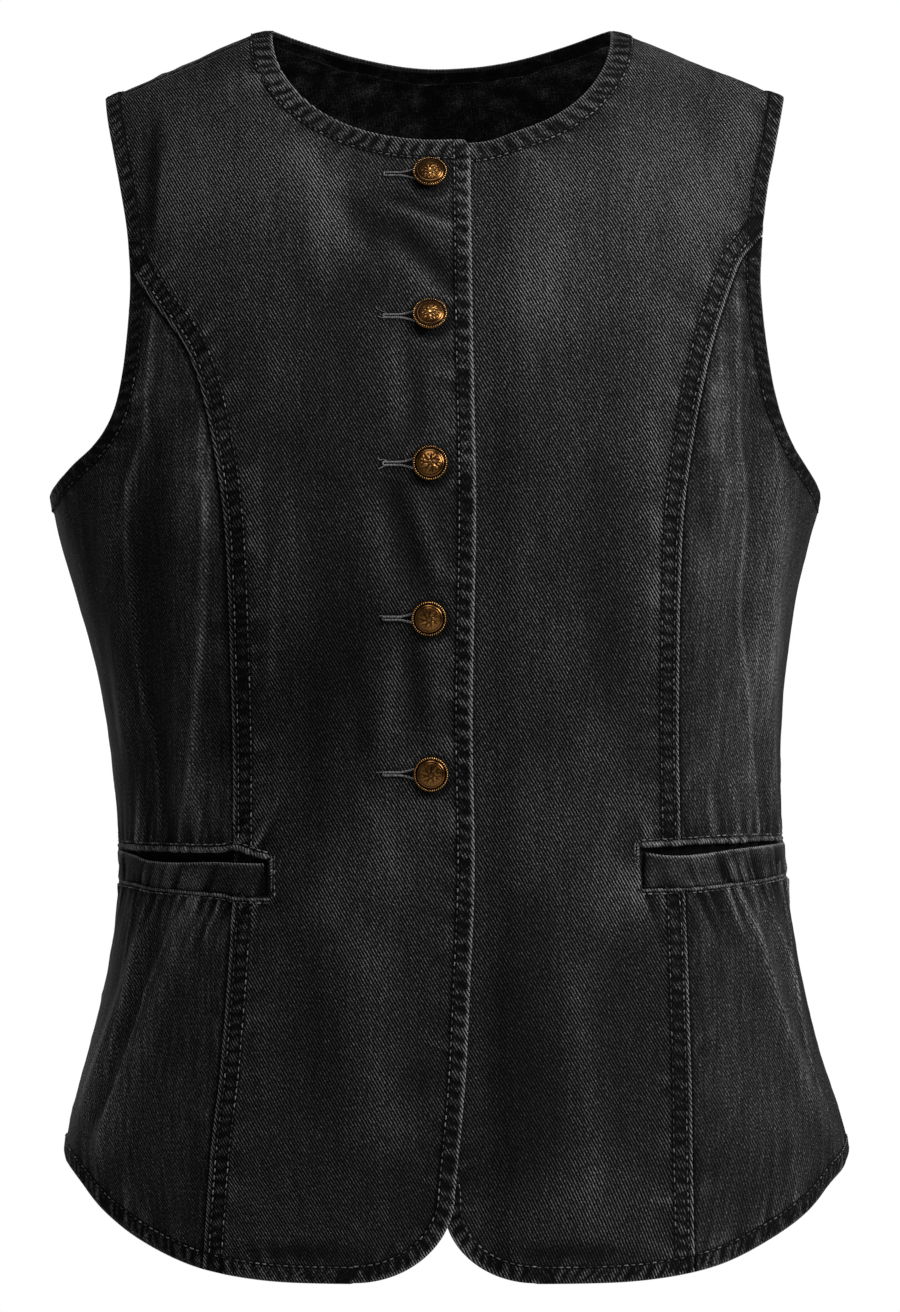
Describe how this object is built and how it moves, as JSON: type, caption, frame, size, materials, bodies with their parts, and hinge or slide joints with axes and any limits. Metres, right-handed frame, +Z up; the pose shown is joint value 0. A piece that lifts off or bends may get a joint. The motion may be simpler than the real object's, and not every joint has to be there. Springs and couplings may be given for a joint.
{
  "type": "denim vest",
  "caption": "Sleeveless button-front denim vest with princess seams and welt pockets, in the hollow shape it keeps when it is worn.",
  "frame": {"origin": "midway between the neck ends of the two shoulder seams", "axes": "+Z up, the front faces -Y, +X is the wearer's left"},
  "size_m": [0.3832, 0.241, 0.5908],
  "materials": {
    "denim": "washed black twill, matte",
    "denim_inside": "inside of washed black twill, matte",
    "buttons": "aged, satin"
  },
  "bodies": {
    "root": {"front_right": "denim", "front_left": "denim", "side_front_right": "denim", "side_front_left": "denim", "back": "denim", "neck_facing": "denim_inside", "pocket_welt_right": "denim", "pocket_welt_left": "denim", "button_1": "buttons", "button_2": "buttons", "button_3": "buttons", "button_4": "buttons", "button_5": "buttons"}
  },
  "joints": []
}
